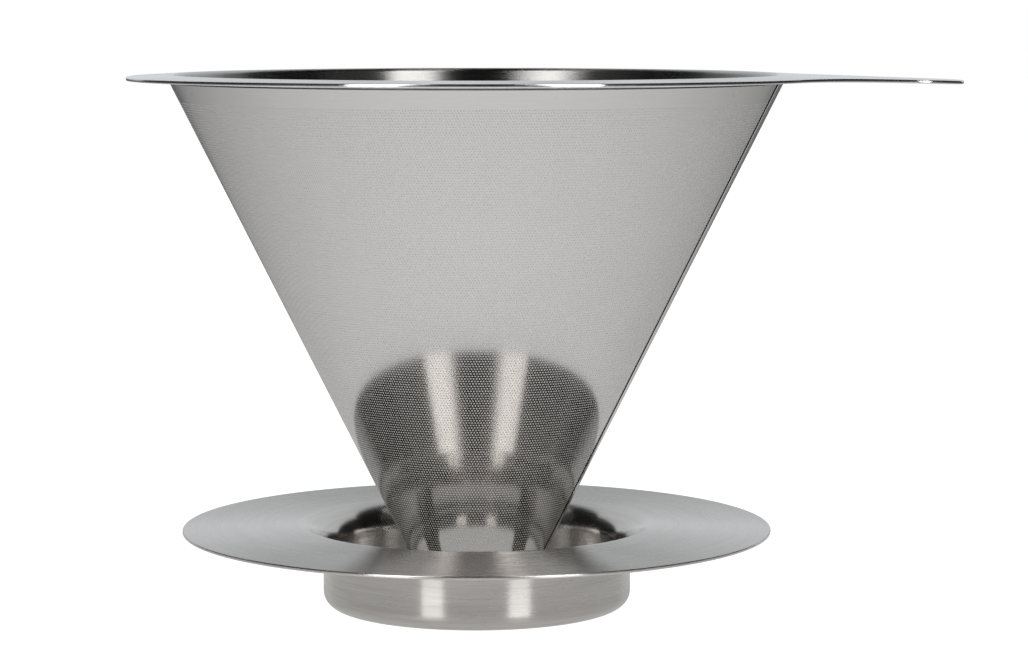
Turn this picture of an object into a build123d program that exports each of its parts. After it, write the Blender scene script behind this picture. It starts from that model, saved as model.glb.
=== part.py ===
"""Pour over dripper in stainless steel: a filter cone under a flat rim, which lifts out of a dished base.

Millimetres, +Z up. The origin is on the cone's axis, in the plane that the base stands on.
The handle points along +X.
"""

from build123d import *
from math import atan, atan2, cos, degrees, radians, sin, sqrt, tan
import os

os.makedirs("parts", exist_ok=True)

# Base: one pressed sheet, which is a dish, a throat, a collar and a windowed floor.
base_sheet = 0.6
dish_radius = 51.2
dish_slope = 1.5
base_height = 14.5
collar_radius = 26.8
collar_corner = 2.8
lip_bend = 4.8
dish_edge_round = 0.22

# Floor of the base: three windows, which leave three spokes and a round hub.
window_count = 3
window_first = -90
window_span = 97
window_margin = 0.5
window_corner = 1.6
hub_radius = 12.5

# Socket ring on the hub, which holds the filter upright.
socket_bore_radius = 7.2
socket_wall = 0.8
socket_height = 4.2
drain_notch_width = 2.6
drain_notch_height = 1.6

# Filter cone: an etched sheet outside and a fine woven mesh inside. The taper is radius lost per height.
cone_top_radius = 52.6
cone_top_height = 91.17
cone_taper = 0.5
filter_sheet = 0.25
mesh_thickness = 0.12
mesh_below_top = 0.3
seam_azimuth = -14.7
seam_lap_width = 6.0
seam_above_cap = 0.4

# Tip cap: a stepped cup round the narrow end of the cone, whose spigot sits in the socket.
cap_sheet = 0.5
cap_skirt_height = 4.0
spigot_clearance = 0.2
spigot_gap_below = 0.4

# Rim ring: flange, short inner skirt and handle, in one pressed sheet.
ring_sheet = 0.65
rim_radius = 60.0
flange_gap_above_cone = 0.86
flange_slope = 3.1
ring_bend = 1.2
skirt_depth = 4.2
ring_edge_round = 0.2
handle_reach = 84.0
handle_slope = 1.7
handle_half_width = 9.0
handle_root_round = 35.0

taper_angle = atan(cone_taper)


def sheet_radius(height, inset=0.0):
    """Outer radius of the filter sheet at a height, less an inset measured square to the sheet."""
    return cone_top_radius - cone_taper * (cone_top_height - height) - inset / cos(taper_angle)


def on_arc(centre, radius, angle):
    """A point at an angle in degrees round a centre."""
    return (centre[0] + radius * cos(radians(angle)), centre[1] + radius * sin(radians(angle)))


# --- Base ---
throat_radius = collar_radius - base_sheet
lip_centre = (throat_radius + lip_bend, base_height - lip_bend)
corner_centre = (collar_radius - collar_corner, collar_corner)
lip_top = on_arc(lip_centre, lip_bend, 90 - dish_slope)
lip_under = on_arc(lip_centre, lip_bend - base_sheet, 90 - dish_slope)
dish_edge_top = lip_top[1] - (dish_radius - lip_top[0]) * tan(radians(dish_slope))
dish_edge_under = lip_under[1] - (dish_radius - lip_under[0]) * tan(radians(dish_slope))
window_outer_radius = corner_centre[0] - window_margin

with BuildSketch() as window:
    with BuildLine():
        CenterArc((0, 0), window_outer_radius, -window_span / 2, window_span)
        CenterArc((0, 0), hub_radius, -window_span / 2, window_span)
        for side in (-window_span / 2, window_span / 2):
            Line(on_arc((0, 0), hub_radius, side), on_arc((0, 0), window_outer_radius, side))
    make_face()
    fillet(window.vertices(), radius=window_corner)

with BuildPart() as base_dish:
    with BuildSketch(Plane.XZ):
        with BuildLine():
            Line((0, 0), (corner_centre[0], 0))
            CenterArc(corner_centre, collar_corner, -90, 90)
            Line((collar_radius, collar_corner), (collar_radius, lip_centre[1]))
            CenterArc(lip_centre, lip_bend - base_sheet, 180, -90 - dish_slope)
            Polyline(lip_under, (dish_radius, dish_edge_under), (dish_radius, dish_edge_top), lip_top)
            CenterArc(lip_centre, lip_bend, 90 - dish_slope, 90 + dish_slope)
            Line((throat_radius, lip_centre[1]), (throat_radius, collar_corner))
            CenterArc(corner_centre, collar_corner - base_sheet, 0, -90)
            Polyline((corner_centre[0], base_sheet), (0, base_sheet), (0, 0))
        make_face()
    revolve(axis=Axis.Z)
    fillet(
        base_dish.edges().filter_by(GeomType.CIRCLE).group_by(SortBy.RADIUS)[-1],
        radius=dish_edge_round,
    )
    with BuildSketch(Plane.XY):
        with PolarLocations(0, window_count, start_angle=window_first):
            add(window.sketch)
    extrude(amount=base_sheet, mode=Mode.SUBTRACT)
base_dish.part.label = "base_dish"

# --- Socket ring, with a drain notch towards each window ---
socket_top = base_sheet + socket_height

with BuildPart() as socket_ring:
    with BuildSketch(Plane.XY.offset(base_sheet)):
        Circle(socket_bore_radius + socket_wall)
        Circle(socket_bore_radius, mode=Mode.SUBTRACT)
    extrude(amount=socket_height)
    with BuildSketch(Plane.XY.offset(base_sheet)):
        with PolarLocations(socket_bore_radius + socket_wall / 2, window_count, window_first):
            Rectangle(2 * socket_wall, drain_notch_width)
    extrude(amount=drain_notch_height, mode=Mode.SUBTRACT)
socket_ring.part.label = "socket_ring"

# --- Tip cap: its shoulder rests on the socket ring, and the cone stands inside its skirt ---
cone_bottom = socket_top + cap_sheet
cap_skirt_top = cone_bottom + cap_skirt_height
spigot_radius = socket_bore_radius - spigot_clearance
spigot_bottom = base_sheet + spigot_gap_below

with BuildPart() as tip_cap:
    with BuildSketch(Plane.XZ):
        with BuildLine():
            Polyline(
                (0, spigot_bottom),
                (spigot_radius, spigot_bottom),
                (spigot_radius, socket_top),
                (sheet_radius(socket_top, -cap_sheet), socket_top),
                (sheet_radius(cap_skirt_top, -cap_sheet), cap_skirt_top),
                (sheet_radius(cap_skirt_top), cap_skirt_top),
                (sheet_radius(cone_bottom), cone_bottom),
                (spigot_radius - cap_sheet, cone_bottom),
                (spigot_radius - cap_sheet, spigot_bottom + cap_sheet),
                (0, spigot_bottom + cap_sheet),
                close=True,
            )
        make_face()
    revolve(axis=Axis.Z)
tip_cap.part.label = "tip_cap"

# --- Filter cone: the rolled sheet, and the lap of even width that lies on it behind the seam ---
lap_bottom = cap_skirt_top + seam_above_cap

with BuildPart() as seam_lap:
    with BuildSketch(Plane.XZ):
        with BuildLine():
            Polyline(
                (sheet_radius(lap_bottom), lap_bottom),
                (sheet_radius(lap_bottom, -filter_sheet), lap_bottom),
                (sheet_radius(cone_top_height, -filter_sheet), cone_top_height),
                (sheet_radius(cone_top_height), cone_top_height),
                close=True,
            )
        make_face()
    revolve(axis=Axis.Z)
    # A straight strip from the axis out past the cone keeps the lap at one width all the way down.
    with BuildSketch(Plane.XY.rotated((0, 0, seam_azimuth))):
        Rectangle(rim_radius, seam_lap_width, align=(Align.MIN, Align.MIN))
    extrude(amount=cone_top_height, mode=Mode.INTERSECT)

with BuildPart() as filter_cone:
    with BuildSketch(Plane.XZ):
        with BuildLine():
            Polyline(
                (sheet_radius(cone_bottom, filter_sheet), cone_bottom),
                (sheet_radius(cone_bottom), cone_bottom),
                (sheet_radius(cone_top_height), cone_top_height),
                (sheet_radius(cone_top_height, filter_sheet), cone_top_height),
                close=True,
            )
        make_face()
    revolve(axis=Axis.Z)
    add(seam_lap.part)
filter_cone.part.label = "filter_cone"

# --- Inner mesh, lying against the inside of the sheet ---
layers = filter_sheet + mesh_thickness
mesh_top = cone_top_height - mesh_below_top

with BuildPart() as inner_mesh:
    with BuildSketch(Plane.XZ):
        with BuildLine():
            Polyline(
                (sheet_radius(cone_bottom, layers), cone_bottom),
                (sheet_radius(cone_bottom, filter_sheet), cone_bottom),
                (sheet_radius(mesh_top, filter_sheet), mesh_top),
                (sheet_radius(mesh_top, layers), mesh_top),
                close=True,
            )
        make_face()
    revolve(axis=Axis.Z)
inner_mesh.part.label = "inner_mesh"

# --- Rim ring: its skirt lies inside the mesh, and its flange bends outwards over the sheet's edge ---
inner_bend = ring_bend - ring_sheet
bend_height = cone_top_height + flange_gap_above_cone - inner_bend
bend_centre = (sheet_radius(bend_height, layers) + inner_bend / cos(taper_angle), bend_height)
flange_angle = 90 - flange_slope
skirt_angle = 180 - degrees(taper_angle)
bend_sweep = skirt_angle - flange_angle
flange_start = on_arc(bend_centre, ring_bend, flange_angle)
rim_top = flange_start[1] - (rim_radius - flange_start[0]) * tan(radians(flange_slope))
handle_tip_top = rim_top - (handle_reach - rim_radius) * tan(radians(handle_slope))
skirt_bottom = cone_top_height - skirt_depth

# In plan, one arc on each side touches both the round rim and the round end of the handle.
tip_centre = handle_reach - handle_half_width
to_rim = rim_radius + handle_root_round
to_tip = handle_half_width + handle_root_round
root_x = (to_rim**2 - to_tip**2 + tip_centre**2) / (2 * tip_centre)
root_y = sqrt(to_rim**2 - root_x**2)
rim_angle = degrees(atan2(root_y, root_x))
tip_angle = degrees(atan2(root_y, root_x - tip_centre))

with BuildPart() as rim_ring:
    with BuildSketch(Plane.XZ):
        with BuildLine():
            Line(
                (sheet_radius(skirt_bottom, layers), skirt_bottom),
                on_arc(bend_centre, inner_bend, skirt_angle),
            )
            CenterArc(bend_centre, inner_bend, skirt_angle, -bend_sweep)
            Polyline(
                on_arc(bend_centre, inner_bend, flange_angle),
                (rim_radius, rim_top - ring_sheet),
                (handle_reach, handle_tip_top - ring_sheet),
                (handle_reach, handle_tip_top),
                (rim_radius, rim_top),
                flange_start,
            )
            CenterArc(bend_centre, ring_bend, flange_angle, bend_sweep)
            Polyline(
                on_arc(bend_centre, ring_bend, skirt_angle),
                (sheet_radius(skirt_bottom, layers + ring_sheet), skirt_bottom),
                (sheet_radius(skirt_bottom, layers), skirt_bottom),
            )
        make_face()
    revolve(axis=Axis.Z)
    # The plan's outline is extruded well past the ring's crest, and what lies in both is kept.
    with BuildSketch(Plane.XY.offset(skirt_bottom)):
        with BuildLine():
            CenterArc((0, 0), rim_radius, rim_angle, 360 - 2 * rim_angle)
            CenterArc((tip_centre, 0), handle_half_width, -tip_angle, 2 * tip_angle)
            for side in (-1, 1):
                CenterArc(
                    (root_x, side * root_y),
                    handle_root_round,
                    side * rim_angle + 180,
                    side * (tip_angle - rim_angle),
                )
        make_face()
    extrude(amount=rim_radius, mode=Mode.INTERSECT)
    side_walls = rim_ring.faces().filter_by(lambda face: abs(face.normal_at().Z) < 0.01)
    fillet(side_walls.edges().filter_by(GeomType.LINE, reverse=True), radius=ring_edge_round)
rim_ring.part.label = "rim_ring"

for piece in (base_dish, socket_ring, tip_cap, filter_cone, inner_mesh, rim_ring):
    export_step(piece.part, f"parts/{piece.part.label}.step")
    print(piece.part.label, round(piece.part.volume, 2), piece.part.is_valid, piece.part.bounding_box())
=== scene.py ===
"""Pour over dripper in stainless steel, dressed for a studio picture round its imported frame.

Metres throughout, in the frame's own axes: +Z up along the cone's axis, +X along the handle. Grain, holes
and weave are worked out in millimetres, and say so.
"""

from math import atan, atan2, cos, hypot, pi, radians, sin, sqrt, tan

import bmesh
import bpy
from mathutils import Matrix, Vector


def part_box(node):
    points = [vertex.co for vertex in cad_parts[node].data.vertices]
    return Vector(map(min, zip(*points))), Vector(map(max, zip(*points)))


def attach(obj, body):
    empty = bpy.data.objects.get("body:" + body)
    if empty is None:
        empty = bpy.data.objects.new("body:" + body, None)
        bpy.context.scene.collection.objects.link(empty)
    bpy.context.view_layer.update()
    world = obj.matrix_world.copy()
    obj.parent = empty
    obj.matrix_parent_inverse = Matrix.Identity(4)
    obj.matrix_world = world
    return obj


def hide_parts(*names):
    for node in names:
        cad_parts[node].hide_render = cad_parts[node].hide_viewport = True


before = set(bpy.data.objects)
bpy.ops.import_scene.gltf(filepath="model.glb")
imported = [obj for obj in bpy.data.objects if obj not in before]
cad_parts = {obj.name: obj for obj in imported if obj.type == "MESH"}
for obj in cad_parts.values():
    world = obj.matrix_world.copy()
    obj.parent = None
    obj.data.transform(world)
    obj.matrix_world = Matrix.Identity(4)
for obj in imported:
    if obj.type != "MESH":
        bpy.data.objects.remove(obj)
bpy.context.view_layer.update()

mm = 0.001

# --- Base dish ---
# One disc of 0.6 mm stainless steel, pressed into a dish with a rolled lip, a throat and a short collar that
# enters the mouth of a server. Its floor is punched with three windows, and the whole of it is then spun
# against a fine abrasive, which leaves a satin grain that runs in circles round the axis.
dish_low, dish_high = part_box("base_dish")
dish_radius = dish_high.x
base_height = dish_high.z
base_sheet = 0.6 * mm
dish_slope = radians(1.5)
collar_radius = 26.8 * mm
collar_corner = 2.8 * mm
throat_radius = collar_radius - base_sheet
lip_bend = 4.8 * mm
dish_edge_round = 0.22 * mm
hub_radius = 12.5 * mm
window_outer_radius = 23.5 * mm
window_corner = 1.6 * mm
window_span = radians(97)
window_middles = [radians(angle) for angle in (-90, 30, 150)]
punched_edge_round = 0.08 * mm
turned_steps = 384
sharp_turn = radians(35)


def line_at(start, angle, distance):
    """The point at a distance from another, at an angle."""
    return start[0] + distance * cos(angle), start[1] + distance * sin(angle)


def round_corners(corners, step=radians(7)):
    """A closed outline through corners of (x, y, radius), each rounded by an arc of its radius."""
    points = []
    for index, (x, y, radius) in enumerate(corners):
        if radius == 0:
            points.append((x, y))
            continue
        corner = Vector((x, y))
        back = (Vector(corners[index - 1][:2]) - corner).normalized()
        ahead = (Vector(corners[(index + 1) % len(corners)][:2]) - corner).normalized()
        half = back.angle(ahead) / 2
        centre = corner + (back + ahead).normalized() * radius / sin(half)
        first = corner + back * radius / tan(half) - centre
        last = corner + ahead * radius / tan(half) - centre
        start = atan2(first.y, first.x)
        turn = atan2(first.x * last.y - first.y * last.x, first.dot(last))
        count = max(2, round(abs(turn) / step))
        points += [line_at(centre, start + turn * part / count, radius) for part in range(count + 1)]
    return points


def as_object(name, shape):
    """Makes a piece of a bmesh, smooth except where it turns sharply."""
    same_place = 1e-7
    bmesh.ops.remove_doubles(shape, verts=shape.verts, dist=same_place)
    bmesh.ops.recalc_face_normals(shape, faces=shape.faces)
    mesh = bpy.data.meshes.new(name)
    shape.to_mesh(mesh)
    shape.free()
    mesh.shade_smooth()
    mesh.set_sharp_from_angle(angle=sharp_turn)
    piece = bpy.data.objects.new(name, mesh)
    bpy.context.collection.objects.link(piece)
    return piece


def skin(name, columns):
    """A piece through columns of points, each a closed outline and joined to the next, all the way round."""
    shape = bmesh.new()
    rows = [[shape.verts.new(point) for point in column] for column in columns]
    for here, there in zip(rows, rows[1:] + rows[:1]):
        for index in range(len(here)):
            after = (index + 1) % len(here)
            shape.faces.new((here[index], there[index], there[after], here[after]))
    return as_object(name, shape)


def turned(name, outline, steps=turned_steps):
    """A closed outline of (radius, height) turned round the axis."""
    angles = [2 * pi * step / steps for step in range(steps)]
    return skin(name, [[(r * cos(a), r * sin(a), z) for r, z in outline] for a in angles])


def prism(name, outline, low, high):
    """A flat outline raised from one height to another."""
    shape = bmesh.new()
    bottom = [shape.verts.new((x, y, low)) for x, y in outline]
    top = [shape.verts.new((x, y, high)) for x, y in outline]
    shape.faces.new(bottom)
    shape.faces.new(top)
    for index in range(len(outline)):
        shape.faces.new((bottom[index - 1], bottom[index], top[index], top[index - 1]))
    return as_object(name, shape)


def settle(piece):
    """Puts a piece's modifiers into its mesh."""
    bpy.context.view_layer.update()
    made = bpy.data.meshes.new_from_object(piece.evaluated_get(bpy.context.evaluated_depsgraph_get()))
    piece.modifiers.clear()
    piece.data = made
    return piece


def punch(piece, tools):
    """Cuts each tool out of a piece, and breaks the sharp edges that the cuts leave."""
    cut_turn = radians(50)
    for tool in tools:
        cut = piece.modifiers.new("cut", "BOOLEAN")
        cut.operation = "DIFFERENCE"
        cut.solver = "EXACT"
        cut.object = tool
    settle(piece)
    for tool in tools:
        bpy.data.objects.remove(tool)
    broken = piece.modifiers.new("broken_edge", "BEVEL")
    broken.width = punched_edge_round
    broken.segments = 2
    broken.limit_method = "ANGLE"
    broken.angle_limit = cut_turn
    settle(piece)
    piece.data.shade_smooth()
    piece.data.set_sharp_from_angle(angle=sharp_turn)
    return piece


def even_shading(piece):
    """Lets the large faces of a piece set the shading where its small rounded edges meet them."""
    weigh = piece.modifiers.new("even_shading", "WEIGHTED_NORMAL")
    weigh.keep_sharp = True
    weigh.weight = 100
    return settle(piece)


def dish_line(bend, radius):
    """Height of the dish at a radius, on the side of the sheet that has this bend at the lip."""
    lip_centre = throat_radius + lip_bend
    return base_height - lip_bend + bend / cos(dish_slope) - (radius - lip_centre) * tan(dish_slope)


def window_outline(middle):
    """One window between two spokes: two arcs about the axis and two radial sides, with round corners."""
    arc_steps = 40
    corner_room = 1.1 * window_corner
    sides = (middle - window_span / 2, middle + window_span / 2)
    corners = []
    for radius, (start, end) in ((window_outer_radius, sides), (hub_radius, sides[::-1])):
        clear = (end - start) / abs(end - start) * corner_room / radius
        corners.append((radius * cos(start), radius * sin(start), window_corner))
        for step in range(arc_steps + 1):
            angle = start + clear + (end - start - 2 * clear) * step / arc_steps
            corners.append((radius * cos(angle), radius * sin(angle), 0))
        corners.append((radius * cos(end), radius * sin(end), window_corner))
    return round_corners(corners)


under_bend = lip_bend - base_sheet
base_dish = turned("pressed_dish", round_corners([
    (0, 0, 0),
    (collar_radius, 0, collar_corner),
    (collar_radius, dish_line(under_bend, collar_radius), under_bend),
    (dish_radius, dish_line(under_bend, dish_radius), dish_edge_round),
    (dish_radius, dish_line(lip_bend, dish_radius), dish_edge_round),
    (throat_radius, dish_line(lip_bend, throat_radius), lip_bend),
    (throat_radius, base_sheet, collar_corner - base_sheet),
    (0, base_sheet, 0),
]))
punch(base_dish, [
    prism("window", window_outline(middle), -base_sheet, 2 * base_sheet) for middle in window_middles
])
even_shading(base_dish)


def put(tree, kind, feeds=None, **settings):
    """Adds a shader node. Each feed names an input, and is a value or the socket that drives it."""
    node = tree.nodes.new("ShaderNode" + kind)
    for name, value in settings.items():
        setattr(node, name, value)
    for name, value in (feeds or {}).items():
        if isinstance(value, bpy.types.NodeSocket):
            tree.links.new(value, node.inputs[name])
        else:
            node.inputs[name].default_value = value
    return node


def calc(tree, operation, *values):
    """One step of arithmetic on the surface."""
    return put(tree, "Math", dict(enumerate(values)), operation=operation).outputs[0]


def between(tree, value, low, high, out_low=0.0, out_high=1.0):
    """Takes a value from one range to another, and stays within the second."""
    feeds = {"Value": value, 1: low, 2: high, 3: out_low, 4: out_high}
    return put(tree, "MapRange", feeds).outputs[0]


def blend_colours(tree, factor, first, second):
    """The colour between two others."""
    node = put(tree, "Mix", data_type="RGBA")
    for socket, value in zip((node.inputs[0], node.inputs[6], node.inputs[7]), (factor, first, second)):
        if isinstance(value, bpy.types.NodeSocket):
            tree.links.new(value, socket)
        else:
            socket.default_value = value if socket is node.inputs[0] else (*value, 1)
    return node.outputs[2]


def roughened(tree, roughness, *marks):
    """A roughness raised by each mark, given with how much it adds at its strongest."""
    for mark, added in marks:
        roughness = calc(tree, "MULTIPLY_ADD", mark, added, roughness)
    return roughness


def new_group(name, inputs, outputs):
    """An empty shader group with named inputs and outputs: gives its tree, its inputs and its last node."""
    tree = bpy.data.node_groups.new(name, "ShaderNodeTree")
    for socket, value in inputs.items():
        tree.interface.new_socket(socket, in_out="INPUT", socket_type="NodeSocketFloat").default_value = value
    for socket in outputs:
        tree.interface.new_socket(socket, in_out="OUTPUT", socket_type="NodeSocketFloat")
    return tree, tree.nodes.new("NodeGroupInput").outputs, tree.nodes.new("NodeGroupOutput")


def place(tree, group, **values):
    """Puts a shader group in a material, with its own values."""
    node = tree.nodes.new("ShaderNodeGroup")
    node.node_tree = group
    for name, value in values.items():
        node.inputs[name.replace("_", " ")].default_value = value
    return node.outputs


def about_axis(tree):
    """Millimetres out from the axis, the turn about it in radians from +X, and millimetres up."""
    sides = put(tree, "SeparateXYZ", {0: put(tree, "TexCoord").outputs["Object"]}).outputs
    x, y, z = (calc(tree, "MULTIPLY", side, 1 / mm) for side in sides)
    out = calc(tree, "SQRT", calc(tree, "ADD", calc(tree, "MULTIPLY", x, x), calc(tree, "MULTIPLY", y, y)))
    return out, calc(tree, "ARCTAN2", y, x), z


def turned_grain_group():
    """Fine lines in circles round the axis, as an abrasive leaves on spinning sheet. Sizes in millimetres."""
    faintest, deepest = 0.28, 0.72
    sizes = {"Line Width": 0.1, "Line Length": 12.0}
    tree, given, result = new_group("turned_grain", sizes, outputs=("Grain", "Bands"))
    out, turn, up = about_axis(tree)
    for name, times_wider, detail in (("Grain", 1.0, 3.0), ("Bands", 8.0, 2.0)):
        wide = calc(tree, "MULTIPLY", given["Line Width"], times_wider)
        along = calc(tree, "DIVIDE", out, given["Line Length"])
        lines = put(tree, "CombineXYZ", {
            "X": calc(tree, "DIVIDE", out, wide),
            "Y": calc(tree, "DIVIDE", up, wide),
            "Z": calc(tree, "MULTIPLY", calc(tree, "COSINE", turn), along),
        }).outputs[0]
        noise = put(tree, "TexNoise", {
            "Vector": lines,
            "W": calc(tree, "MULTIPLY", calc(tree, "SINE", turn), along),
            "Scale": 1.0, "Detail": detail, "Roughness": 0.6,
        }, noise_dimensions="4D")
        tree.links.new(between(tree, noise.outputs[0], faintest, deepest), result.inputs[name])
    return tree


def handling_group():
    """What hands and washing leave on steel: soft patches and a few hairlines. Sizes in millimetres."""
    patch_start, patch_full = 0.35, 0.68
    bend_of_hairlines = (0.004, 0.004, 0.004)
    hairline = 0.006
    rare_start, rare_full = 0.57, 0.66
    sizes = {"Patch Size": 18.0, "Scratch Size": 9.0}
    tree, given, result = new_group("handling", sizes, outputs=("Patches", "Scratches"))
    spot = put(tree, "TexCoord").outputs["Object"]
    patch_scale = calc(tree, "DIVIDE", 1 / mm, given["Patch Size"])
    wide = put(tree, "TexNoise", {"Vector": spot, "Scale": patch_scale, "Detail": 4.0, "Distortion": 0.6})
    tree.links.new(between(tree, wide.outputs[0], patch_start, patch_full), result.inputs["Patches"])
    wavy = put(tree, "TexNoise", {"Vector": spot, "Scale": 60.0, "Detail": 1.0})
    bend = put(tree, "VectorMath", {0: wavy.outputs[1], 1: bend_of_hairlines}, operation="MULTIPLY")
    moved = put(tree, "VectorMath", {0: spot, 1: bend.outputs[0]}, operation="ADD")
    cell_scale = calc(tree, "DIVIDE", 1 / mm, given["Scratch Size"])
    cell_feeds = {"Vector": moved.outputs[0], "Scale": cell_scale}
    cells = put(tree, "TexVoronoi", cell_feeds, feature="DISTANCE_TO_EDGE")
    thin = between(tree, cells.outputs[0], 0.0, hairline, 1.0, 0.0)
    rare = put(tree, "TexNoise", {"Vector": spot, "Scale": 140.0, "Detail": 2.0})
    kept = between(tree, rare.outputs[0], rare_start, rare_full)
    tree.links.new(calc(tree, "MULTIPLY", thin, kept), result.inputs["Scratches"])
    return tree


turned_grain = turned_grain_group()
handling = handling_group()


def new_steel(name, anisotropic=0.0):
    """A bare steel. An anisotropic one stretches its shine across lines that run round the axis."""
    quarter_turn = 0.25
    material = bpy.data.materials.new(name)
    material.use_nodes = True
    tree = material.node_tree
    tree.nodes.clear()
    shader = put(tree, "BsdfPrincipled", {
        "Metallic": 1.0, "Anisotropic": anisotropic, "Anisotropic Rotation": quarter_turn,
    })
    if anisotropic:
        round_axis = put(tree, "Tangent", direction_type="RADIAL", axis="Z")
        tree.links.new(round_axis.outputs[0], shader.inputs["Tangent"])
    tree.links.new(shader.outputs[0], put(tree, "OutputMaterial").inputs["Surface"])
    return material, tree, shader


def dress(tree, shader, colour, roughness, height, depth, strength=1.0):
    """Gives a steel its colour, its roughness and its fine relief, whose full height is the depth."""
    relief = put(tree, "Bump", {"Height": height, "Strength": strength, "Distance": depth})
    for name, source in (("Base Color", colour), ("Roughness", roughness), ("Normal", relief.outputs[0])):
        tree.links.new(source, shader.inputs[name])


def spun_steel(name, light, dark, line_width, line_length, rough, grain_depth, anisotropic, burnish=None):
    """Satin steel with a grain turned into it: fine circles, broad ones, patches and hairlines."""
    fine_share, broad_share = 0.45, 0.55
    hairline_depth = 0.4
    material, tree, shader = new_steel(name, anisotropic)
    lines = place(tree, turned_grain, Line_Width=line_width, Line_Length=line_length)
    marks = place(tree, handling, Patch_Size=22.0, Scratch_Size=11.0)
    broad = calc(tree, "MULTIPLY", lines["Bands"], broad_share)
    streaks = calc(tree, "MULTIPLY_ADD", lines["Grain"], fine_share, broad)
    bare = burnish(tree, rough) if burnish else rough
    added = ((lines["Bands"], 0.03), (marks["Patches"], 0.03), (marks["Scratches"], 0.04))
    hairlines = calc(tree, "MULTIPLY", marks["Scratches"], hairline_depth)
    height = calc(tree, "SUBTRACT", lines["Grain"], hairlines)
    colour = blend_colours(tree, streaks, dark, light)
    dress(tree, shader, colour, roughened(tree, bare, *added), height, grain_depth)
    return material


def burnish_of_throat(tree, rough):
    """The press leaves the throat's wall smoother than the dish, and the lip too, less so further out."""
    less_rough = 0.12
    wall_end = 26.25
    wall_fade = 0.4
    lip_bottom = 10.0
    lip_fade = 0.5
    lip_end = 32.0
    out, turn, up = about_axis(tree)
    wall = between(tree, out, wall_end, wall_end + wall_fade, 1.0, 0.0)
    lip = between(tree, out, wall_end, lip_end, 1.0, 0.0)
    lip = calc(tree, "MULTIPLY", lip, between(tree, up, lip_bottom - lip_fade, lip_bottom))
    return between(tree, calc(tree, "MAXIMUM", wall, lip), 0.0, 1.0, rough, rough - less_rough)


base_steel = spun_steel(
    "spun_base_steel", light=(0.65, 0.628, 0.603), dark=(0.48, 0.462, 0.44), line_width=0.14,
    line_length=14.0, rough=0.235, grain_depth=0.0002 * mm, anisotropic=1.0, burnish=burnish_of_throat,
)


def fit(piece, material, body, slot, *nodes):
    """Gives a piece its finish, hangs it on its body and puts it in the place of its frame nodes."""
    piece.data.materials.clear()
    piece.data.materials.append(material)
    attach(piece, body)
    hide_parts(*nodes)


fit(base_dish, base_steel, "base", "brushed_base", "base_dish")

# --- Socket ring ---
# A ring turned from steel tube and welded on the hub of the base. The filter's spigot drops into it, and
# three notches at its foot let coffee out towards the windows.
ring_low, ring_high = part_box("socket_ring")
socket_outer_radius = ring_high.x
socket_wall = 0.8 * mm
socket_edge_round = 0.2 * mm
socket_steps = 128
notch_width = 2.6 * mm
notch_height = 1.6 * mm
socket_bore_radius = socket_outer_radius - socket_wall
socket_ring = turned("socket_collar", round_corners([
    (socket_bore_radius, ring_low.z, 0),
    (socket_outer_radius, ring_low.z, 0),
    (socket_outer_radius, ring_high.z, socket_edge_round),
    (socket_bore_radius, ring_high.z, socket_edge_round),
]), steps=socket_steps)


def notch_outline(middle):
    """A drain notch in plan, which crosses the ring's wall square to it."""
    outward = Vector((cos(middle), sin(middle)))
    across = Vector((-sin(middle), cos(middle))) * notch_width / 2
    near = outward * (socket_bore_radius - socket_wall)
    far = outward * (socket_outer_radius + socket_wall)
    return [near - across, far - across, far + across, near + across]


punch(socket_ring, [
    prism("notch", notch_outline(middle), ring_low.z - notch_height, ring_low.z + notch_height)
    for middle in window_middles
])
fit(even_shading(socket_ring), base_steel, "base", "brushed_base", "socket_ring")

# --- Tip cap ---
# A small stepped cup of 0.5 mm steel that closes the narrow end of the cone. Its skirt is welded round the
# cone, its shoulder rests on the socket ring, and its spigot keeps the filter upright in the ring.
cap_low, cap_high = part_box("tip_cap")
cone_low, cone_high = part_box("filter_cone")
cap_sheet = 0.5 * mm
cap_bend = 0.45 * mm
cap_inside_bend = 0.1 * mm
cap_edge_round = 0.2 * mm
cap_steps = 192
spigot_radius = 7.0 * mm
cone_top_radius = 52.6 * mm
cone_taper = 0.5
taper_angle = atan(cone_taper)


def sheet_radius(height, inset=0.0):
    """Outer radius of the filter sheet at a height, less an inset measured square to the sheet."""
    return cone_top_radius - cone_taper * (cone_high.z - height) - inset / cos(taper_angle)


shoulder = cone_low.z - cap_sheet
tip_cap = turned("tip_cup", round_corners([
    (0, cap_low.z, 0),
    (spigot_radius, cap_low.z, cap_bend),
    (spigot_radius, shoulder, cap_inside_bend),
    (sheet_radius(shoulder, -cap_sheet), shoulder, cap_bend),
    (sheet_radius(cap_high.z, -cap_sheet), cap_high.z, cap_edge_round),
    (sheet_radius(cap_high.z), cap_high.z, 0),
    (sheet_radius(cone_low.z), cone_low.z, 0),
    (spigot_radius - cap_sheet, cone_low.z, cap_bend),
    (spigot_radius - cap_sheet, cap_low.z + cap_sheet, cap_inside_bend),
    (0, cap_low.z + cap_sheet, 0),
]), steps=cap_steps)
cap_steel = spun_steel(
    "satin_cap_steel", light=(0.62, 0.62, 0.615), dark=(0.54, 0.54, 0.535), line_width=0.08,
    line_length=6.0, rough=0.3, grain_depth=0.002 * mm, anisotropic=0.5,
)
fit(even_shading(tip_cap), cap_steel, "filter", "satin_cap", "tip_cap")

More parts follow.
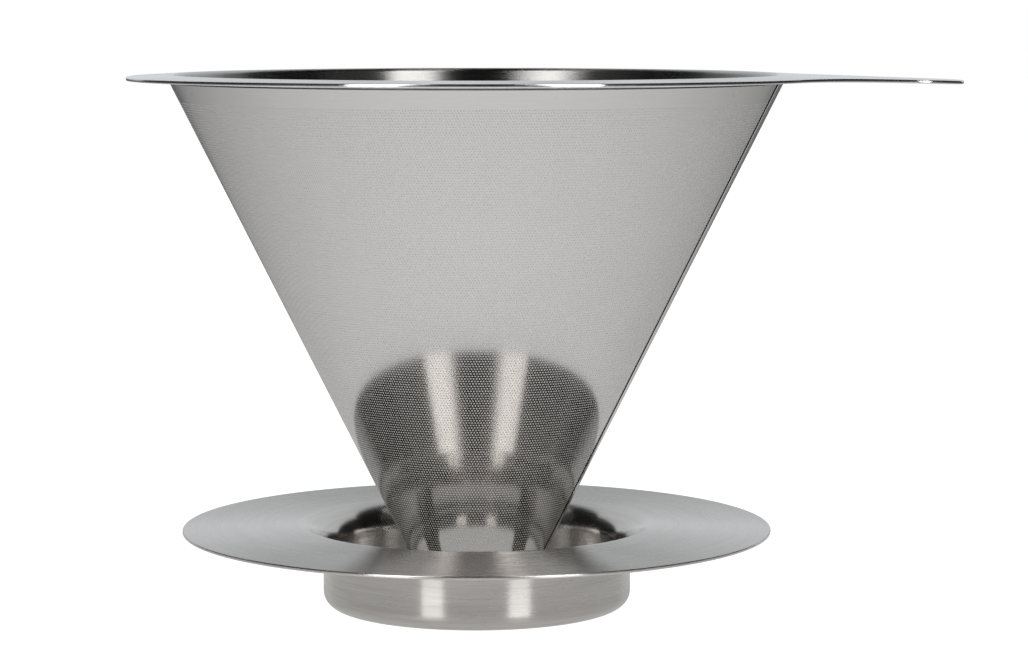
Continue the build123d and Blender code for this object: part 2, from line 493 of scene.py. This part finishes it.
# --- Filter sheet ---
# A 0.25 mm steel sheet, etched with rows of fine round holes and rolled into a cone. Its ends lap by 6 mm in
# a plain strip on the handle's side, where they are seam welded. The plain band at the top is spot welded to
# the rim's skirt, and each weld leaves a shallow dimple.
filter_sheet = 0.25 * mm
seam = radians(-14.7)
lap_width = 6.0 * mm
lap_fade = 4.0 * mm
lap_bottom = cap_high.z + 0.4 * mm
lap_edge_round = 0.06 * mm
sheet_edge_round = 0.06 * mm
weld_height = cone_high.z - 1.15 * mm
weld_count = 9
first_weld = radians(-155)
weld_radius = 0.75 * mm
weld_depth = 0.045 * mm
seam_weld_beside = 1.3 * mm
seam_weld_below = 0.9 * mm
welds = [(first_weld + 2 * pi * index / weld_count, weld_height) for index in range(weld_count)]
welds.append((seam + seam_weld_beside / cone_top_radius, weld_height - seam_weld_below))


def lap_lift(beyond_seam, height):
    """How far the outer layer stands off, at an arc length beyond the seam's edge."""
    if height <= lap_bottom:
        return 0.0
    fade = min(max((lap_width + lap_fade - beyond_seam) / lap_fade, 0.0), 1.0)
    return filter_sheet * fade * fade * (3 - 2 * fade)


def weld_dent(turn, height, radius):
    """How deep the weld's dimple is at a place on the sheet."""
    for weld_turn, at_height in welds:
        across = ((turn - weld_turn + pi) % (2 * pi) - pi) * radius
        apart = hypot(across, (height - at_height) / cos(taper_angle)) / weld_radius
        if apart < 1:
            return weld_depth * (1 - apart * apart) ** 2
    return 0.0


def spread(low, high, count):
    """Even steps from one value to another, with both ends."""
    return [low + (high - low) * index / count for index in range(count + 1)]


weld_zone = 0.9 * mm
lap_step_height = 0.15 * mm
lap_edge_zone = 0.3 * mm
heights = spread(cone_low.z, lap_bottom, count=3)
heights += spread(lap_bottom + lap_step_height, weld_height - 2 * weld_zone, count=30)
heights += spread(weld_height - 1.9 * weld_zone, weld_height + weld_zone, count=18)
heights += [cone_high.z - sheet_edge_round]
edge_lifts = [(0.0, 0.0), (0.0, 0.4), (0.0, 0.76), (0.3, 0.93), (1.0, 1.0)]
lap_columns = [(lap_edge_round * run, part) for run, part in edge_lifts]
lap_columns += [(run, 1.0) for run in spread(lap_edge_zone, lap_width + lap_fade, count=44)]
plain_turns = set(spread(0.0, 1.0, count=300)[1:-1])
lap_turn = (lap_width + lap_fade) / cone_top_radius
for weld_turn, at_height in welds[:-1]:
    for offset in spread(-weld_zone, weld_zone, count=12):
        share = ((weld_turn - seam) % (2 * pi) + offset / cone_top_radius - lap_turn) / (2 * pi - lap_turn)
        if 0 < share < 1:
            plain_turns.add(share)


def sheet_column(beyond_seam=None, part=1.0, share=None):
    """One column of the sheet, up its outside and down its inside.

    In the lap it is given by its distance beyond the seam, elsewhere by its share of the rest of the turn.
    """
    outside, inside = [], []
    for height in heights:
        radius = sheet_radius(height)
        lap_end = (lap_width + lap_fade) / radius
        run = beyond_seam if share is None else lap_end * radius + share * (2 * pi - lap_end) * radius
        turn = seam + run / radius
        lift = part * lap_lift(run, height) if share is None else 0.0
        proud = (lift - weld_dent(turn, height, radius)) / cos(taper_angle)
        outside.append(((radius + proud) * cos(turn), (radius + proud) * sin(turn), height))
        hidden = radius - filter_sheet / cos(taper_angle)
        inside.append((hidden * cos(turn), hidden * sin(turn), height))
    top = cone_high.z
    brink = []
    for out in (lift - sheet_edge_round, sheet_edge_round - filter_sheet):
        radius = sheet_radius(top) + out / cos(taper_angle)
        brink.append((radius * cos(turn), radius * sin(turn), top))
    return outside + brink + inside[::-1]


columns = [sheet_column(beyond_seam=run, part=part) for run, part in lap_columns]
columns += [sheet_column(share=share) for share in sorted(plain_turns)]
filter_cone = skin("etched_cone", columns)


def etched_steel():
    """The etched sheet, whose round holes show the grey mesh behind them. Sizes in millimetres.

    Every row of holes starts at the seam. The band at the top, the lap and the sheet in the cap are plain.
    """
    row_pitch = 0.4876
    hole_pitch = 0.4876
    hole_radius = 0.13
    hole_edge = 0.015
    first_row = 3.63
    plain_margin = 0.35
    seam_line = 0.05
    seam_line_start = seam_line * 0.6
    lower_layer_end = 0.6 * filter_sheet / mm
    tip_zone_start, tip_zone_end = 22.0, 50.0
    sheet_grey = (0.585, 0.575, 0.565)
    grain_grey = tuple(0.94 * part for part in sheet_grey)
    patch_grey = (0.63, 0.62, 0.60)
    patch_share = 0.25
    hole_grey = (0.54, 0.525, 0.505)
    # Lighter grey of the holes near the tip: painted light that comes through the mesh from inside the cone.
    tip_painted_light_grey = (0.66, 0.635, 0.60)
    # Painted shadow in the gap under the lap's lifted edge.
    seam_shadow_black = (0.015, 0.014, 0.013)
    sheet_rough, hole_rough = 0.085, 0.75
    grain_height = 0.03
    hole_depth = 0.02 * mm
    material, tree, shader = new_steel("etched_sheet_steel")
    out, turn, up = about_axis(tree)
    down = calc(tree, "DIVIDE", calc(tree, "SUBTRACT", cone_high.z / mm, up), cos(taper_angle))
    row = calc(tree, "ROUND", calc(tree, "DIVIDE", calc(tree, "SUBTRACT", down, first_row), row_pitch))
    row_down = calc(tree, "MULTIPLY_ADD", row, row_pitch, first_row)
    row_radius = calc(tree, "MULTIPLY_ADD", row_down, -sin(taper_angle), cone_top_radius / mm)
    girth = calc(tree, "MULTIPLY", row_radius, 2 * pi)
    turns = calc(tree, "DIVIDE", calc(tree, "SUBTRACT", seam + 2 * pi, turn), 2 * pi)
    run = calc(tree, "MULTIPLY", calc(tree, "FRACT", turns), girth)
    past_seam = calc(tree, "SUBTRACT", girth, run)
    pitches = calc(tree, "DIVIDE", calc(tree, "SUBTRACT", run, plain_margin), hole_pitch)
    across = calc(tree, "MULTIPLY", calc(tree, "SUBTRACT", calc(tree, "FRACT", pitches), 0.5), hole_pitch)
    beside = calc(tree, "SUBTRACT", down, row_down)
    across_squared = calc(tree, "MULTIPLY", across, across)
    beside_squared = calc(tree, "MULTIPLY", beside, beside)
    apart = calc(tree, "SQRT", calc(tree, "ADD", across_squared, beside_squared))
    hole = between(tree, apart, hole_radius - hole_edge, hole_radius + hole_edge, 1.0, 0.0)
    above_cap = calc(tree, "GREATER_THAN", up, lap_bottom / mm)
    for value, least in ((row, -0.5), (past_seam, lap_width / mm), (run, plain_margin)):
        hole = calc(tree, "MULTIPLY", hole, calc(tree, "GREATER_THAN", value, least))
    hole = calc(tree, "MULTIPLY", hole, above_cap)
    sheet_line = calc(tree, "MULTIPLY_ADD", down, -sin(taper_angle), cone_top_radius / mm)
    proud = calc(tree, "SUBTRACT", out, sheet_line)
    # A painted shadow line along the lap's edge, on the lower layer where the lifted edge shades the gap.
    seam_shadow = between(tree, calc(tree, "MINIMUM", run, past_seam), seam_line_start, seam_line, 1.0, 0.0)
    seam_shadow = calc(tree, "MULTIPLY", seam_shadow, above_cap)
    seam_shadow = calc(tree, "MULTIPLY", seam_shadow, calc(tree, "LESS_THAN", proud, lower_layer_end))
    lines = place(tree, turned_grain, Line_Width=0.12, Line_Length=5.0)
    marks = place(tree, handling, Patch_Size=16.0, Scratch_Size=14.0)
    tone = blend_colours(tree, lines["Grain"], grain_grey, sheet_grey)
    tone = blend_colours(tree, calc(tree, "MULTIPLY", marks["Patches"], patch_share), tone, patch_grey)
    tone = blend_colours(tree, seam_shadow, tone, seam_shadow_black)
    # The holes are painted lighter towards the tip, as painted light from inside the cone.
    painted_tip_light = between(tree, up, tip_zone_start, tip_zone_end, 1.0, 0.0)
    colour = blend_colours(tree, hole, tone, blend_colours(tree, painted_tip_light, hole_grey, tip_painted_light_grey))
    rough = roughened(tree, sheet_rough, (lines["Grain"], 0.03), (marks["Patches"], 0.03))
    rough = between(tree, calc(tree, "MAXIMUM", hole, seam_shadow), 0.0, 1.0, rough, hole_rough)
    height = calc(tree, "SUBTRACT", calc(tree, "MULTIPLY", lines["Grain"], grain_height), hole)
    dress(tree, shader, colour, rough, height, hole_depth, strength=0.12)
    tree.links.new(between(tree, hole, 0.0, 1.0, 1.0, 0.0), shader.inputs["Metallic"])
    return material


fit(even_shading(filter_cone), etched_steel(), "filter", "etched_sheet", "filter_cone")

# --- Inner mesh ---
# A cone of fine woven steel wire that lies against the inside of the etched sheet and stops the coffee's
# fines. It is cut flat, so its wires run straight across the unrolled cone.
mesh_low, mesh_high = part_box("inner_mesh")
mesh_thickness = 0.12 * mm
layers = filter_sheet + mesh_thickness
mesh_rows = 40
mesh_heights = spread(mesh_low.z, mesh_high.z, mesh_rows)
outer_side = [(sheet_radius(height, filter_sheet), height) for height in mesh_heights]
inner_side = [(sheet_radius(height, layers), height) for height in mesh_heights[::-1]]
inner_mesh = turned("woven_lining", outer_side + inner_side)


def woven_steel():
    """Plain weave of round wires on the unrolled cone, over and under one another. In millimetres."""
    wire_pitch = 0.2
    wire_wave = 0.45
    weave_low, weave_high = 0.2, 1.4
    under_grey = (0.20, 0.195, 0.19)
    wire_grey = (0.58, 0.575, 0.565)
    patch_grey = (0.46, 0.45, 0.43)
    patch_share = 0.3
    under_rough, wire_rough = 0.6, 0.32
    wire_depth = 0.03 * mm
    material, tree, shader = new_steel("woven_mesh_steel")
    out, turn, up = about_axis(tree)
    from_tip = calc(tree, "DIVIDE", out, sin(taper_angle))
    flat_turn = calc(tree, "MULTIPLY", turn, sin(taper_angle))
    flat = []
    for way in ("COSINE", "SINE"):
        place_on_flat = calc(tree, "MULTIPLY", from_tip, calc(tree, way, flat_turn))
        flat.append(calc(tree, "DIVIDE", place_on_flat, wire_pitch))
    wires = []
    for this, other in (flat, flat[::-1]):
        side = calc(tree, "SUBTRACT", calc(tree, "MULTIPLY", calc(tree, "FRACT", this), 2.0), 1.0)
        bulge = calc(tree, "SUBTRACT", 1.0, calc(tree, "MULTIPLY", side, side))
        phase = calc(tree, "ADD", other, calc(tree, "FLOOR", this))
        if wires:
            phase = calc(tree, "ADD", phase, 1.0)
        rise = calc(tree, "SINE", calc(tree, "MULTIPLY", phase, pi))
        wires.append(calc(tree, "MULTIPLY_ADD", rise, wire_wave, bulge))
    weave = between(tree, calc(tree, "MAXIMUM", *wires), weave_low, weave_high)
    marks = place(tree, handling, Patch_Size=12.0, Scratch_Size=20.0)
    tone = blend_colours(tree, weave, under_grey, wire_grey)
    colour = blend_colours(tree, calc(tree, "MULTIPLY", marks["Patches"], patch_share), tone, patch_grey)
    rough = between(tree, weave, 0.0, 1.0, under_rough, wire_rough)
    dress(tree, shader, colour, rough, weave, wire_depth, strength=0.5)
    return material


fit(even_shading(inner_mesh), woven_steel(), "filter", "woven_mesh", "inner_mesh")

# --- Rim ring ---
# One pressing of 0.65 mm steel: a flat flange that slopes down a little, a short skirt that bends into the
# cone and is spot welded to it, and a tab handle on one side whose root flows out of the round rim. Flange
# and handle are polished. The skirt is left rougher as it was pressed, and painted darker as painted shade.
rim_low, rim_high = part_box("rim_ring")
ring_sheet = 0.65 * mm
rim_radius = -rim_low.x
handle_reach = rim_high.x
handle_half_width = 9.0 * mm
handle_root_round = 35.0 * mm
handle_slope = radians(1.7)
flange_slope = radians(3.1)
ring_bend = 1.2 * mm
inner_bend = ring_bend - ring_sheet
ring_edge_round = 0.2 * mm
skirt_end_round = 0.15 * mm
bend_room = 0.4 * mm
bend_height = rim_high.z - ring_bend
bend_middle = sheet_radius(bend_height, layers) + inner_bend / cos(taper_angle)
tip_centre = handle_reach - handle_half_width
to_rim = rim_radius + handle_root_round
to_tip = handle_half_width + handle_root_round
root_x = (to_rim ** 2 - to_tip ** 2 + tip_centre ** 2) / (2 * tip_centre)
root_y = sqrt(to_rim ** 2 - root_x ** 2)
rim_turn = atan2(root_y, root_x)
tip_turn = atan2(root_y, root_x - tip_centre)


def flange_height(bend, radius):
    """Height of the ring at a radius, on the side of the sheet that has this bend. The handle slopes less."""
    on_rim = min(radius, rim_radius)
    height = bend_height + bend / cos(flange_slope) - (on_rim - bend_middle) * tan(flange_slope)
    return height - (radius - on_rim) * tan(handle_slope)


def plan_outline(inset):
    """The ring in plan, an even distance inside its edge: handle's end, root, rim and the other root."""
    points = []

    def sweep(x, y, radius, start, end, count):
        for index in range(count):
            points.append(line_at((x, y), start + (end - start) * index / count, radius))

    sweep(tip_centre, 0, handle_half_width - inset, -tip_turn, tip_turn, count=48)
    sweep(root_x, root_y, handle_root_round + inset, pi + tip_turn, pi + rim_turn, count=44)
    sweep(0, 0, rim_radius - inset, rim_turn, 2 * pi - rim_turn, count=340)
    sweep(root_x, -root_y, handle_root_round + inset, pi - rim_turn, pi - tip_turn, count=44)
    return points


def skirt_corner(bend, inset):
    """Where the skirt's line meets the flange's, on the side of the sheet that has this bend."""
    apex_height = flange_height(bend, bend_middle) + bend_middle * tan(flange_slope)
    skirt_at_zero = sheet_radius(0.0, inset)
    height = (apex_height - skirt_at_zero * tan(flange_slope)) / (1 + cone_taper * tan(flange_slope))
    return sheet_radius(height, inset), height


top_corner = skirt_corner(ring_bend, layers + ring_sheet)
under_corner = skirt_corner(inner_bend, layers)
inner_flange = bend_middle + bend_room
section = round_corners([
    (inner_flange, flange_height(inner_bend, inner_flange), 0),
    (*under_corner, inner_bend),
    (sheet_radius(rim_low.z, layers), rim_low.z, skirt_end_round),
    (sheet_radius(rim_low.z, layers + ring_sheet), rim_low.z, skirt_end_round),
    (*top_corner, ring_bend),
    (inner_flange, flange_height(ring_bend, inner_flange), 0),
], step=radians(6))
flange_steps = 12
edge_angles = spread(pi / 2, 0, count=5)
edge_outlines = [plan_outline(ring_edge_round * (1 - cos(angle))) for angle in edge_angles]


def ring_column(index):
    """One column of the ring: its section near the cone, out on top, round the edge and back beneath."""
    flat_x, flat_y = edge_outlines[0][index]
    turn = atan2(flat_y, flat_x)
    radii = spread(inner_flange, hypot(flat_x, flat_y), flange_steps)[1:-1]
    column = [(radius * cos(turn), radius * sin(turn), height) for radius, height in section]
    column += [(r * cos(turn), r * sin(turn), flange_height(ring_bend, r)) for r in radii]
    edge = list(zip(edge_angles, edge_outlines))
    for side, bend, ordered in ((1, ring_bend, edge), (-1, inner_bend, edge[::-1])):
        for angle, outline in ordered:
            x, y = outline[index]
            drop = ring_edge_round * (1 - sin(angle)) * side
            column.append((x, y, flange_height(bend, hypot(x, y)) - drop))
    column += [(r * cos(turn), r * sin(turn), flange_height(inner_bend, r)) for r in radii[::-1]]
    return column


rim_ring = skin("pressed_rim", [ring_column(index) for index in range(len(edge_outlines[0]))])


def polished_steel():
    """Bright steel: a close, shallow polishing grain, hairlines and a little haze. Sizes in millimetres."""
    dark_band, light_band = (0.76, 0.76, 0.76), (0.82, 0.82, 0.815)
    # The skirt's dark grey is painted shade on the rim's inside wall.
    skirt_shade_grey = (0.36, 0.355, 0.345)
    polished_rough, skirt_rough = 0.13, 0.24
    skirt_end, polish_start = 51.8, 53.0
    grain_depth = 0.0006 * mm
    material, tree, shader = new_steel("polished_ring_steel", anisotropic=1.0)
    lines = place(tree, turned_grain, Line_Width=0.06, Line_Length=20.0)
    marks = place(tree, handling, Patch_Size=14.0, Scratch_Size=8.0)
    bright = blend_colours(tree, lines["Bands"], dark_band, light_band)
    out, turn, up = about_axis(tree)
    on_skirt = between(tree, out, skirt_end, polish_start, 1.0, 0.0)
    bare = between(tree, on_skirt, 0.0, 1.0, polished_rough, skirt_rough)
    added = ((marks["Patches"], 0.04), (lines["Grain"], 0.03), (marks["Scratches"], 0.12))
    height = calc(tree, "SUBTRACT", lines["Grain"], marks["Scratches"])
    # The skirt is painted darker: painted shade inside the rim.
    colour = blend_colours(tree, on_skirt, bright, skirt_shade_grey)
    dress(tree, shader, colour, roughened(tree, bare, *added), height, grain_depth)
    return material


fit(even_shading(rim_ring), polished_steel(), "filter", "polished_ring", "rim_ring")

# --- Table and background ---
# The dripper stands on a white acrylic table that is lit from inside, so it casts no shadow there. Its glow
# is a painted pool of light in front of the dripper, with painted shadow under the base and just behind it,
# and it fades far away. The camera sees the table and the room behind it as plain white.
table_reach = 4.0
table_drop = 0.05 * mm
table_grey = (0.3, 0.3, 0.3, 1)
white = (1, 1, 1, 1)
# The painted pool of light in the table's glow: its middle, its size and its strength.
pool_middle = (0, -0.1, 0)
pool_radius = 0.285
pool_glow = 0.77
seen_glow = 1.02
room_glow = 0.01
# Painted shade in the glow: the pool fades far out, and painted shadow lies under the base and just behind
# it.
painted_dimming = (
    {"middle": pool_middle, "near": 0.45, "far": 0.8, "near_share": 1.0, "far_share": 0.03},
    {"middle": (0, 0, 0), "near": 0.03, "far": 0.07, "near_share": 0.7, "far_share": 1.0},
    {"middle": (0, 0.02, 0), "near": 0.016, "far": 0.036, "near_share": 0.15, "far_share": 1.0},
)
table_top = bmesh.new()
bmesh.ops.create_circle(table_top, cap_ends=True, segments=96, radius=table_reach)
table = as_object("lit_table", table_top)
table.location.z = dish_low.z - table_drop


def distance_from(tree, spot, middle):
    """Metres from a place on the table."""
    return put(tree, "VectorMath", {0: spot, 1: middle}, operation="DISTANCE").outputs["Value"]


def lit_acrylic():
    """White acrylic whose glow is a painted pool of light with painted shadows, and that can be looked
    through from below.
    """
    material = bpy.data.materials.new("lit_acrylic")
    material.use_nodes = True
    tree = material.node_tree
    tree.nodes.clear()
    face = put(tree, "NewGeometry").outputs
    from_pool = calc(tree, "DIVIDE", distance_from(tree, face["Position"], pool_middle), pool_radius)
    glow = calc(tree, "DIVIDE", pool_glow, calc(tree, "ADD", calc(tree, "POWER", from_pool, 2.0), 1.0))
    for dim in painted_dimming:
        away = distance_from(tree, face["Position"], dim["middle"])
        share = between(tree, away, dim["near"], dim["far"], dim["near_share"], dim["far_share"])
        glow = calc(tree, "MULTIPLY", glow, share)
    seen = calc(tree, "MULTIPLY", put(tree, "LightPath").outputs["Is Camera Ray"], seen_glow)
    acrylic = put(tree, "BsdfPrincipled", {
        "Base Color": table_grey, "Roughness": 0.9, "Emission Color": white,
        "Emission Strength": calc(tree, "MAXIMUM", glow, seen),
    })
    from_below = put(tree, "MixShader", {0: face["Backfacing"], 1: acrylic.outputs[0]})
    tree.links.new(put(tree, "BsdfTransparent").outputs[0], from_below.inputs[2])
    tree.links.new(from_below.outputs[0], put(tree, "OutputMaterial").inputs["Surface"])
    return material


table.data.materials.append(lit_acrylic())

room = bpy.data.worlds.new("studio")
bpy.context.scene.world = room
room.use_nodes = True
room.node_tree.nodes.clear()
room_seen = put(room.node_tree, "LightPath").outputs["Is Camera Ray"]
room_light = put(room.node_tree, "Background", {
    "Color": white, "Strength": between(room.node_tree, room_seen, 0.0, 1.0, room_glow, 1.0),
})
room.node_tree.links.new(room_light.outputs[0], put(room.node_tree, "OutputWorld").inputs["Surface"])

# --- Studio lights ---
# A tall soft box stands on each side of the camera with a faint fill beyond it, and a broad, slightly cool
# screen is lit behind the dripper.
eye_level = (rim_high.z + dish_low.z) / 2
screen_colour = (0.96, 1.0, 1.03)


def soft_panel(name, turn, lift, distance, width, height, radiance, colour=(1, 1, 1)):
    """A rectangular light at a turn about the axis from the camera's side, aimed at the dripper's middle."""
    lamp = bpy.data.lights.new(name, "AREA")
    lamp.shape = "RECTANGLE"
    lamp.size = width
    lamp.size_y = height
    lamp.energy = radiance * pi * width * height
    lamp.color = colour
    panel = bpy.data.objects.new(name, lamp)
    toward = Vector((sin(turn) * cos(lift), -cos(turn) * cos(lift), sin(lift)))
    panel.location = Vector((0, 0, eye_level)) + toward * distance
    panel.rotation_mode = "QUATERNION"
    panel.rotation_quaternion = toward.to_track_quat("Z", "Y")
    panel.visible_camera = False
    bpy.context.collection.objects.link(panel)


for side, way in (("left", -1), ("right", 1)):
    soft_panel("soft_box_" + side, turn=way * radians(32), lift=radians(28), distance=1.3,
               width=0.4, height=1.6, radiance=4.1)
    soft_panel("side_fill_" + side, turn=way * radians(62), lift=radians(45), distance=1.3,
               width=0.6, height=0.8, radiance=0.08)
soft_panel("lit_screen", turn=pi, lift=radians(26), distance=1.5,
           width=3.0, height=1.4, radiance=0.7, colour=screen_colour)

# --- Camera ---
# A long lens, a little above the rim and almost level, square to the handle.
camera_beside_axis = 6.5 * mm
camera_before_axis = 557.0 * mm
camera_above_rim = 11.57 * mm
camera_dip = 0.1008
lens = bpy.data.cameras.new("camera")
lens.lens = 112.8
lens.sensor_width = 36.0
camera = bpy.data.objects.new("camera", lens)
camera.location = (camera_beside_axis, -camera_before_axis, rim_high.z + camera_above_rim)
camera.rotation_euler = (pi / 2 - camera_dip, 0, 0)
bpy.context.collection.objects.link(camera)
bpy.context.scene.camera = camera
bpy.context.scene.view_settings.view_transform = "Standard"
